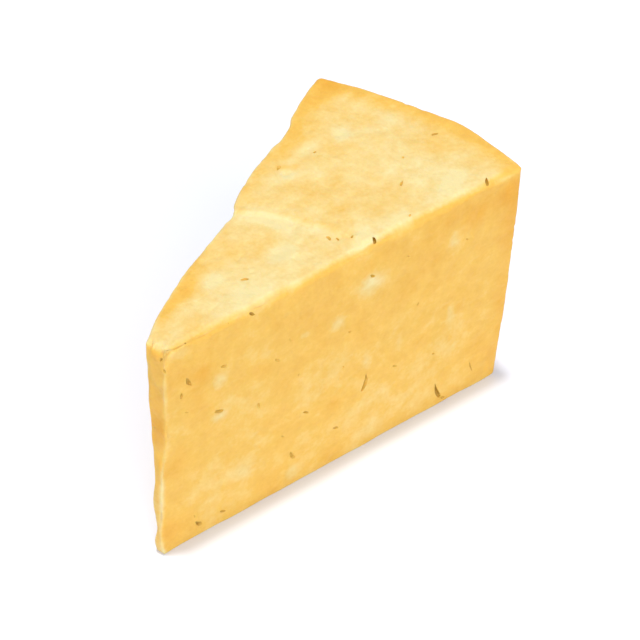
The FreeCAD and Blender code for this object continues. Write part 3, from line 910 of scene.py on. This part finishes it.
# %% [markdown]
# ## What the colour follows
#
# The colour of the curd isn't random everywhere. It is deeper towards the rind, where the
# wheel dried, along the torn edge and on the rubbed crease, and paler on the other edges and
# around some openings. Part of it is painted light: shade painted high on the knife cut and
# above the tip's ledge, a highlight painted on the upright edge between the tip and the knife
# cut, the top painted paler towards the knife cut and deeper towards the torn side partly for
# the light there, the pale patches over dents and below openings partly a painted highlight,
# and the torn face painted deeper and warmer against the cool light in its shade. A number for
# each point, the tone, carries this: 1 is the palest curd, -1 the deepest. It could be painted,
# but a sum of soft steps, bands and patches can be read and changed. It is stored on the mesh,
# so that the pattern follows the surface.

# %% Pale and deep patches of the two faces that show
# In both tables the pale patches over the dents and just below some openings are partly the
# curd's own paleness and partly painted highlight, where those hollows catch the light.
KNIFE_PATCHES = [
    # distance from the axis, height, reach along, reach up, tone
    (107, 91, 6, 5, 0.9), (92, 78, 4, 4, 0.7), (148, 92, 2.5, 7, 0.6), (149, 52, 2, 5, 0.5),
    (37, 80, 4, 4, 0.6), (36, 61, 3, 2, 0.9), (45, 24, 4, 5, 0.5), (69, 7, 4, 4, 0.8),
    (106, 48, 2, 5, 0.5), (76, 81, 3, 2, 0.6), (88, 58, 9, 9, 0.2), (90, 20, 8, 8, 0.2),
    (20, 103, 7, 4, 0.8), (122, 50, 2, 7, 0.3), (30, 88, 4, 4, -0.6), (56, 74, 5, 4, -0.4),
    (18, 47, 6, 8, -0.3), (18, 76, 4, 12, 0.3), (153, 56, 6, 8, -0.25), (14, 12, 9, 9, -0.7),
    (98, 107, 4, 4, -0.4), (108, 8, 8, 5, 0.25), (90, 35, 4, 4, -0.4), (165, 22, 9, 12, -0.4),
    (176, 102, 6, 6, -0.9), (174, 110.5, 7, 2, 1.2), (160, 99, 7, 6, -0.5),
]
TOP_PATCHES = [
    # X and Y from the axis, reach along X, reach along Y, tone
    (92, 10, 3.5, 10, 0.7), (104, -26, 4, 4, 1.0), (80, -4, 6, 4, 0.9), (55, -7, 10, 4, 0.15),
    (116, 22, 3, 3, 0.6), (149, 19, 4, 4, 0.8), (133, 24, 5, 3, 0.4), (150, -33, 10, 4, 0.5),
    (165, 9, 6, 4, 0.3), (96, 22, 4, 5, -0.3), (125, 31, 20, 4, -0.25), (163, 41, 14, 6, -0.8),
    (45, 11, 25, 3.5, -0.6), (124, 4, 9, 7, -0.2), (116.8, 26.6, 1.9, 1.9, -0.4),
    (118.8, 24.4, 1.9, 1.9, -0.5), (121.0, 21.6, 1.9, 1.9, -0.4),
    (53.0, 8.5, 5, 4, 0.7), (31, -4, 6, 4, -0.4), (167, -16, 8, 7, -0.25),
]
print("patches: %d on the knife cut, %d on the top" % (len(KNIFE_PATCHES), len(TOP_PATCHES)))

# %% Tone of each face
# The torn face is painted deeper and warmer, against the cool light that reaches it in shade.
TORN_SHADE_WARMTH = -0.3
TOP_TONE = 0.6
# Soft steps: the tone at the end, and the place where it starts and ends, in millimetres.
RIM_STEP = (-0.45, 13.0, 0.0)           # distance from the rim
RIM_STEP_ON_TOP = (-0.4, 13.0, 0.0)     # added to the other
# The next two make the top deeper by the torn side and paler by the knife cut: partly the curd's
# own tone, partly painted light, which falls brighter near the knife cut.
TOP_TORN_TONE_AND_SHADE = (-0.35, 9.0, 0.0)       # distance from the torn face
TOP_KNIFE_TONE_AND_LIGHT = (0.15, 18.0, 2.0)      # distance from the knife cut
# Painted shade: the knife cut is deeper high up, where the light on it is brighter.
KNIFE_HIGH_SHADE = (-0.25, 30.0, 100.0)  # height
KNIFE_FOOT_STEP = (-0.1, 14.0, 0.0)
TIP_FOOT_STEP = (0.3, 54.0, 40.0)
TIP_HIGH_STEP = (-0.4, 96.0, 104.0)
TIP_TONE = -0.2
# Bands: the tone in the middle, the place of the middle and the reach, in millimetres.
# Painted shade: the deepest band of the tip, just above its ledge.
TIP_PAINTED_SHADE = (-0.8, 66.0, 15.0)           # height
FLAKE_INSIDE = (0.3, -2.2, 2.6)         # distance past the flake's edge
FLAKE_OUTSIDE = (-0.15, 1.2, 1.0)
FLAKE_FROM_KNIFE = (6.0, 24.0)          # both come in between these distances from the cut


def step(values, tone, start, end):
    """The tone times a soft step from the start to the end."""
    return tone * fade(values, start, end)


def band(values, tone, middle, reach):
    """The tone times e to the minus square of the distance from the middle."""
    return tone * np.exp(-((values - middle) / reach) ** 2)


def top_tone(points, to):
    """Paler than the sides, deeper by the torn edge and paler by the knife cut, partly as painted
    light, with a pale band inside the flake's edge.
    """
    tone = TOP_TONE + step(to["torn"], *TOP_TORN_TONE_AND_SHADE) + step(to["knife"], *TOP_KNIFE_TONE_AND_LIGHT)
    past = past_flake(points)
    bands = band(past, *FLAKE_INSIDE) + band(past, *FLAKE_OUTSIDE)
    tone += fade(to["knife"], *FLAKE_FROM_KNIFE) * bands
    return tone + step(to["rim"], *RIM_STEP_ON_TOP) + patches(points[:, 0], points[:, 1],
                                                              TOP_PATCHES)


def knife_tone(points):
    """Painted shade high up, where the light is brighter, a little deeper at the foot, plus the
    patches.
    """
    height = points[:, 2]
    return (step(height, *KNIFE_HIGH_SHADE) + step(height, *KNIFE_FOOT_STEP)
            + patches(points @ KNIFE_ALONG, height, KNIFE_PATCHES))


def tip_tone(height):
    """Paler under the ledge, deepest above it, where shade is painted, and deeper again at the
    top.
    """
    return (TIP_TONE + step(height, *TIP_FOOT_STEP) + step(height, *TIP_HIGH_STEP)
            + band(height, *TIP_PAINTED_SHADE))


print("tone of the tip from foot to top:", tip_tone(np.linspace(0, RIM_HEIGHT, 5)).round(2))

# %% All the tones together
# Painted highlight: the upright edge between the tip and the knife cut is paler.
RIDGE_HIGHLIGHT = 0.55        # the upright edge between the tip and the knife cut
RUBBED_TONE = -0.5       # the worn crease between the knife cut and the top
RUBBED_BACK = 1.7        # how far back from the cut it reaches, in millimetres
RUBBED_WANDER = (1.6, 15, 2, 80)
RUBBED_SOFT = 1.9
TONE_REACH = 2.0         # how far below a face its own tone goes
RIDGE_HIGHLIGHT_REACH = (2.6, 2.2)
EDGE_TONE = 0.35         # every other edge is a little paler
EDGE_BAND = (0.3, 1.8)


def curd_tone(points):
    """Each face's tone where that face is near, the painted highlight on the tip's upright edge,
    then the rubbed crease and the other edges.
    """
    distances = face_distances(points)
    to = dict(zip(FACES, distances.T))
    on_knife, on_top, on_tip, on_torn = (near_face(distances, name, TONE_REACH)
                                         for name in ("knife", "top", "tip", "torn"))
    on_tip = on_tip * (1 - on_top)
    on_torn = on_torn * (1 - on_top) * (1 - on_tip)
    ridge_highlight = near_face(distances, "tip", RIDGE_HIGHLIGHT_REACH[0]) * near_face(distances, "knife",
                                                                    RIDGE_HIGHLIGHT_REACH[1])
    tone = step(to["rim"], *RIM_STEP) + on_top * top_tone(points, to) + on_torn * TORN_SHADE_WARMTH
    tone += on_knife * (1 - on_top) * knife_tone(points)
    tone += on_tip * tip_tone(points[:, 2]) + ridge_highlight * RIDGE_HIGHLIGHT
    back = RUBBED_BACK + hills(points * [1, 1, 0], *RUBBED_WANDER)
    rubbed = on_top * fall(to["knife"], back - RUBBED_SOFT, back + RUBBED_SOFT)
    tone = tone * (1 - rubbed) + RUBBED_TONE * rubbed
    from_edge = np.sort(distances, axis=1)[:, 1]
    return tone + EDGE_TONE * fall(from_edge, *EDGE_BAND) * (1 - on_top * on_knife)


print("tone in the middle of the top: %.2f" % curd_tone(half_way[None, :])[0])

# %% Store the tone, and for the walls of the openings a tone that deepens with the depth: painted shade
# Painted shade: the walls of the openings darken between these depths below the skin.
WALL_SHADE_DEPTHS = (0.1, 1.5)    # below the skin, where a wall is palest and deepest


def store(mesh, name, values):
    """One number for each point, as an attribute that materials can read."""
    layer = mesh.attributes.new(name, "FLOAT", "POINT")
    layer.data.foreach_set("value", values.astype(np.float32))


def in_wheel_frame(items, name):
    """A place for each item, such as a mesh's points, in millimetres from the wheel's axis."""
    flat = np.empty(len(items) * 3, np.float32)
    items.foreach_get(name, flat)
    return flat.reshape(-1, 3).astype(float) / MM - AXIS


points = in_wheel_frame(carved.vertices, "co")
depth = face_distances(points).min(axis=1)
store(carved, "tone", curd_tone(points))
store(carved, "wall_painted_shade", 1 - 2 * fade(depth, *WALL_SHADE_DEPTHS))
print("deepest opening %.1f mm" % depth.max())

# %% [markdown]
# ## Finishes
#
# Three finishes share the wedge: the curd of the cut and torn faces, the rind of the curved
# side and the base, and the walls of the openings. What they have in common, the drifting
# tone and the fine grain, is built once each as a node group and placed in every material
# with its own values.

# %% Node helpers
def colour(red, green, blue):
    """A colour given as 0 to 255 on screen, turned into the linear light that nodes use.

    Above a small value, linear light is ((c + 0.055) / 1.055) to the power 2.4.
    """
    parts = np.array([red, green, blue]) / 255
    light = np.where(parts > 0.04045, ((parts + 0.055) / 1.055) ** 2.4, parts / 12.92)
    return (*light, 1.0)


def add_node(tree, kind, links=None, values=None, **settings):
    """A new node with its settings, its plain input values and its links by input name."""
    node = tree.nodes.new(kind)
    for name, value in settings.items():
        setattr(node, name, value)
    for name, value in (values or {}).items():
        node.inputs[name].default_value = value
    for name, source in (links or {}).items():
        tree.links.new(source, node.inputs[name])
    return node


def new_group(name, inputs, outputs):
    """An empty node group with named sockets, and its input and output nodes."""
    tree = bpy.data.node_groups.new(name, "ShaderNodeTree")
    for label, (kind, value) in inputs.items():
        socket = tree.interface.new_socket(label, in_out="INPUT", socket_type=kind)
        if value is not None:
            socket.default_value = value
    for label, kind in outputs.items():
        tree.interface.new_socket(label, in_out="OUTPUT", socket_type=kind)
    return tree, tree.nodes.new("NodeGroupInput"), tree.nodes.new("NodeGroupOutput")


def maths(tree, operation, *numbers):
    """The output of one sum; each of its numbers is a plain value or a socket."""
    node = add_node(tree, "ShaderNodeMath", operation=operation)
    for number, socket in zip(numbers, node.inputs):
        if isinstance(number, bpy.types.NodeSocket):
            tree.links.new(number, socket)
        else:
            socket.default_value = number
    return node.outputs[0]


def scaled_noise(tree, where, scale, detail, rough):
    """A noise texture around 0: its value less a half."""
    noise = add_node(tree, "ShaderNodeTexNoise", {"Vector": where},
                     {"Scale": scale, "Detail": detail, "Roughness": rough})
    return maths(tree, "SUBTRACT", noise.outputs["Fac"], 0.5)


def weighted_sum(tree, sockets, weights):
    """Each socket times its weight, added up."""
    total = 0.0
    for socket, weight in zip(sockets, weights):
        total = maths(tree, "MULTIPLY_ADD", socket, weight, total)
    return total


print("a screen value of 128 is %.3f of full light" % colour(128, 128, 128)[0])

# %% [markdown]
# ## The drifting tone
#
# Roumy isn't evenly yellow: cloudy areas of a few centimetres, blotches of a few millimetres
# and single grains differ a little. Painting them would tie them to one view of the wedge.
# Noise on Object coordinates gives all three sizes on every face, and adds to the stored tone.

# %% Group: the drifting tone of curd
BROAD = (38.0, 2.0, 0.5)        # scale, detail and roughness; at a scale of 38 a cloud is
BLOTCH = (130.0, 3.0, 0.6)      # about 1/38 of a metre wide
SPECK = (620.0, 2.0, 0.5)
TONE_WEIGHTS = (1.3, 1.3, 0.3)  # of those three
LIGHT_WEIGHTS = (0.15, 0.07)    # of the two finer ones


def build_curd_colour():
    """Tone plus noise of three sizes picks a colour between deep, middle and pale.

    The two finer noises also make it a little lighter or darker: colour times 1 plus noise.
    """
    tree, start, end = new_group(
        "curd_colour",
        {"Where": ("NodeSocketVector", None), "Tone": ("NodeSocketFloat", 0.0),
         "Drift": ("NodeSocketFloat", 1.0), "Pale": ("NodeSocketColor", None),
         "Middle": ("NodeSocketColor", None), "Deep": ("NodeSocketColor", None)},
        {"Color": "NodeSocketColor"})
    given = start.outputs
    broad, blotch, speck = (scaled_noise(tree, given["Where"], *size)
                            for size in (BROAD, BLOTCH, SPECK))
    noise = weighted_sum(tree, (broad, blotch, speck), TONE_WEIGHTS)
    tone = maths(tree, "ADD", maths(tree, "MULTIPLY", noise, given["Drift"]), given["Tone"])
    down = maths(tree, "MULTIPLY", tone, -1.0)
    to_pale = add_node(tree, "ShaderNodeMix", data_type="RGBA", links={
        "Factor": tone, 6: given["Middle"], 7: given["Pale"]}).outputs[2]
    to_deep = add_node(tree, "ShaderNodeMix", data_type="RGBA", links={
        "Factor": down, 6: to_pale, 7: given["Deep"]}).outputs[2]
    light = maths(tree, "ADD", weighted_sum(tree, (blotch, speck), LIGHT_WEIGHTS), 1.0)
    lit = add_node(tree, "ShaderNodeVectorMath", {0: to_deep, "Scale": light},
                   operation="SCALE").outputs[0]
    tree.links.new(lit, end.inputs["Color"])
    return tree


curd_colour_group = build_curd_colour()
print("tone group's sockets:", [item.name for item in curd_colour_group.interface.items_tree])

# %% [markdown]
# ## The grain
#
# Close up the curd is finely granular and dull, with tiny pits where a grain has come out.
# Those are too small for the mesh, so a bump carries them: two noises for the grain, and a
# Voronoi texture for round pits, let through only where another noise is high.

# %% Group: the fine grain of curd
CRUMB = (420.0, 4.0, 0.6)       # scale, detail and roughness
SOFT = (150.0, 2.0, 0.5)
RARE = (90.0, 1.0, 0.5)
RARE_BETWEEN = (0.02, 0.18)     # noise from which pits come in, and where they are all there
PIT_SCALE = 260.0
PIT_REACH = 0.28                # how far round its centre a pit goes, as a share of a cell
HEIGHT_WEIGHTS = (0.9, 1.2, 0.5)    # of the crumb, the soft noise and the pits
MATT_WEIGHTS = (0.3, 0.5)


def build_curd_grain():
    """Height from fine noise, with tiny round pits where a cell's centre is near."""
    tree, start, end = new_group(
        "curd_grain",
        {"Where": ("NodeSocketVector", None), "Size": ("NodeSocketFloat", 1.0),
         "Pits": ("NodeSocketFloat", 1.0)},
        {"Height": "NodeSocketFloat", "Matt": "NodeSocketFloat"})
    given = start.outputs
    where = add_node(tree, "ShaderNodeVectorMath", {0: given["Where"], "Scale": given["Size"]},
                     operation="SCALE").outputs[0]
    crumb, soft, rare = (scaled_noise(tree, where, *size) for size in (CRUMB, SOFT, RARE))
    cells = add_node(tree, "ShaderNodeTexVoronoi", {"Vector": where}, {"Scale": PIT_SCALE})
    pit = add_node(tree, "ShaderNodeMapRange", {"Value": cells.outputs["Distance"]},
                   {"From Min": 0.0, "From Max": PIT_REACH, "To Min": -1.0, "To Max": 0.0})
    shown = add_node(tree, "ShaderNodeMapRange", {"Value": rare},
                     {"From Min": RARE_BETWEEN[0], "From Max": RARE_BETWEEN[1], "To Min": 0.0,
                      "To Max": 1.0})
    pitted = maths(tree, "MULTIPLY", pit.outputs[0], shown.outputs[0])
    pitted = maths(tree, "MULTIPLY", pitted, given["Pits"])
    height = weighted_sum(tree, (crumb, soft, pitted), HEIGHT_WEIGHTS)
    matt = weighted_sum(tree, (crumb, soft), MATT_WEIGHTS)
    tree.links.new(height, end.inputs["Height"])
    tree.links.new(matt, end.inputs["Matt"])
    return tree


curd_grain_group = build_curd_grain()
print("node groups:", [group.name for group in bpy.data.node_groups])

# %% [markdown]
# ## From groups to materials
#
# Fat makes cheese slightly translucent, so light goes in a few millimetres, red furthest, and
# comes out warmer. Subsurface scattering gives that. The surface itself is dull with a faint
# waxy gleam, a little smoother on the rind.

# %% One function for the three finishes
GRAIN_HEIGHT = 0.0006            # metres
GLOW_REACH = 0.003               # metres that light goes in, and the shares of its colours
GLOW_SHARES = (1.0, 0.55, 0.2)
REFRACTION = 1.45
GLEAM = 0.35


def new_material(name, values):
    """A material and its Principled shader, which gets plain values by socket name."""
    material = bpy.data.materials.new(name)
    material.use_nodes = True
    shader = material.node_tree.nodes["Principled BSDF"]
    for label, value in values.items():
        shader.inputs[label].default_value = value
    return material, shader


def cheese_finish(name, pale, middle, deep, drift, grain, pits, bump, roughness, glow,
                  tone_name="tone"):
    """A Principled material whose colour and grain come from the two groups."""
    material, shader = new_material(name, {
        "Subsurface Weight": glow, "Subsurface Radius": GLOW_SHARES,
        "Subsurface Scale": GLOW_REACH, "IOR": REFRACTION, "Specular IOR Level": GLEAM})
    tree = material.node_tree
    where = add_node(tree, "ShaderNodeTexCoord").outputs["Object"]
    tone = add_node(tree, "ShaderNodeAttribute", attribute_name=tone_name).outputs["Fac"]
    tint = add_node(tree, "ShaderNodeGroup", {"Where": where, "Tone": tone},
                    {"Drift": drift, "Pale": pale, "Middle": middle, "Deep": deep},
                    node_tree=curd_colour_group)
    texture = add_node(tree, "ShaderNodeGroup", {"Where": where}, {"Size": grain, "Pits": pits},
                       node_tree=curd_grain_group)
    bumped = add_node(tree, "ShaderNodeBump", {"Height": texture.outputs["Height"]},
                      {"Strength": bump, "Distance": GRAIN_HEIGHT})
    rough = maths(tree, "ADD", texture.outputs["Matt"], roughness)
    tree.links.new(tint.outputs["Color"], shader.inputs["Base Color"])
    tree.links.new(rough, shader.inputs["Roughness"])
    tree.links.new(bumped.outputs["Normal"], shader.inputs["Normal"])
    return material


curd = cheese_finish("roumy_curd", colour(228, 211, 152), colour(230, 185, 86),
                     colour(226, 166, 55), drift=0.9, grain=1.0, pits=1.0, bump=0.5,
                     roughness=0.55, glow=0.3)
rind = cheese_finish("roumy_rind", colour(235, 196, 116), colour(228, 174, 80),
                     colour(216, 145, 50), drift=0.8, grain=1.6, pits=0.4, bump=0.35,
                     roughness=0.48, glow=0.2)
# The walls' deep colour, which comes in with depth, is painted shade inside the openings.
wall = cheese_finish("roumy_opening", colour(230, 192, 99), colour(211, 169, 73),
                     colour(176, 134, 50), drift=0.4, grain=1.3, pits=0.3, bump=0.3,
                     roughness=0.55, glow=0.3, tone_name="wall_painted_shade")
print("finishes:", [material.name for material in (curd, rind, wall)])

# %% Give each face its finish
RIM_SKIN = 1.0           # rind goes this deep at the rim, in millimetres
BASE_SKIN = 0.4
SHARP = 50               # degrees between two faces whose edge isn't shaded smooth

index = np.empty(len(carved.polygons), np.int32)
carved.polygons.foreach_get("material_index", index)
carved.materials.clear()
for material in (curd, rind, wall):
    carved.materials.append(material)
to = dict(zip(FACES, face_distances(in_wheel_frame(carved.polygons, "center")).T))
on_rind = (to["rim"] < RIM_SKIN) | (to["base"] < BASE_SKIN)
index[on_rind & (index == CURD_SLOT)] = RIND_SLOT
carved.polygons.foreach_set("material_index", index)
carved.shade_smooth()
carved.set_sharp_from_angle(angle=math.radians(SHARP))
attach(wedge, "root")
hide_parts("cheese_wedge")
print("faces with curd, rind and opening walls:", np.bincount(index))

# %% [markdown]
# ## Camera
#
# The camera looks down on the wedge from the side of the knife cut and the tip, from far
# enough away that the edges stay almost parallel.

# %% Camera
CAMERA_SPOT = Vector((-0.3093, -0.3238, 0.5552))    # metres from the foot of the wheel's axis
CAMERA_AIM = Vector((0.1496, 0.0312, 0.0))
CAMERA_LENS = 101.25
camera = new_object("camera", bpy.data.cameras.new("camera"))
camera.data.lens = CAMERA_LENS
camera.data.sensor_width = 36.0
camera.data.clip_start = 0.01
camera.location = CAMERA_SPOT + Vector(AXIS * MM)
camera.rotation_euler = (CAMERA_AIM - CAMERA_SPOT).to_track_quat("-Z", "Y").to_euler()
bpy.context.scene.camera = camera
print("camera %.0f mm from the aim" % ((CAMERA_AIM - CAMERA_SPOT).length / MM))

# %% [markdown]
# ## Floor and light
#
# A plain white floor, a bright even sky, one soft lamp almost straight above and a wide fill
# from the front: all faces are bright, and only a thin shadow lies before the knife cut.

# %% Floor
FLOOR_HALF = 3           # metres
FLOOR_COLOUR = (0.86, 0.89, 0.97, 1)
corners = [(x * FLOOR_HALF, y * FLOOR_HALF, 0) for x, y in ((-1, -1), (1, -1), (1, 1), (-1, 1))]
floor_mesh = bpy.data.meshes.new("floor")
floor_mesh.from_pydata(corners, [], [(0, 1, 2, 3)])
floor = new_object("floor", floor_mesh)
paper, _ = new_material("white_paper", {
    "Base Color": FLOOR_COLOUR, "Roughness": 0.9, "Specular IOR Level": 0.0})
floor_mesh.materials.append(paper)
print("floor: %d m square" % (2 * FLOOR_HALF))

# %% Light
SKY_COLOUR = (0.99, 0.99, 1.03, 1)
SKY_STRENGTH = 0.45
world = bpy.data.worlds.new("studio")
world.use_nodes = True
world.node_tree.nodes["Background"].inputs["Color"].default_value = SKY_COLOUR
world.node_tree.nodes["Background"].inputs["Strength"].default_value = SKY_STRENGTH
bpy.context.scene.world = world


def soft_sun(name, bearing, elevation, softness, strength):
    """A far lamp at a bearing and an elevation; softness is how wide it looks, in degrees.

    Its direction is the cosine and sine of the bearing, times the cosine of the elevation,
    and the sine of the elevation for the height.
    """
    lamp = new_object(name, bpy.data.lights.new(name, "SUN"))
    lamp.data.angle = math.radians(softness)
    lamp.data.energy = strength
    bearing, elevation = math.radians(bearing), math.radians(elevation)
    towards = Vector((math.cos(bearing) * math.cos(elevation),
                      math.sin(bearing) * math.cos(elevation), math.sin(elevation)))
    lamp.rotation_euler = towards.to_track_quat("Z", "Y").to_euler()


soft_sun("overhead", bearing=74, elevation=86.7, softness=4.5, strength=1.7)
soft_sun("front_fill", bearing=-128, elevation=32, softness=60, strength=1.7)
view = bpy.context.scene.view_settings
view.view_transform = "Standard"
view.look = "None"
print("lamps:", [lamp.name for lamp in bpy.data.lights])
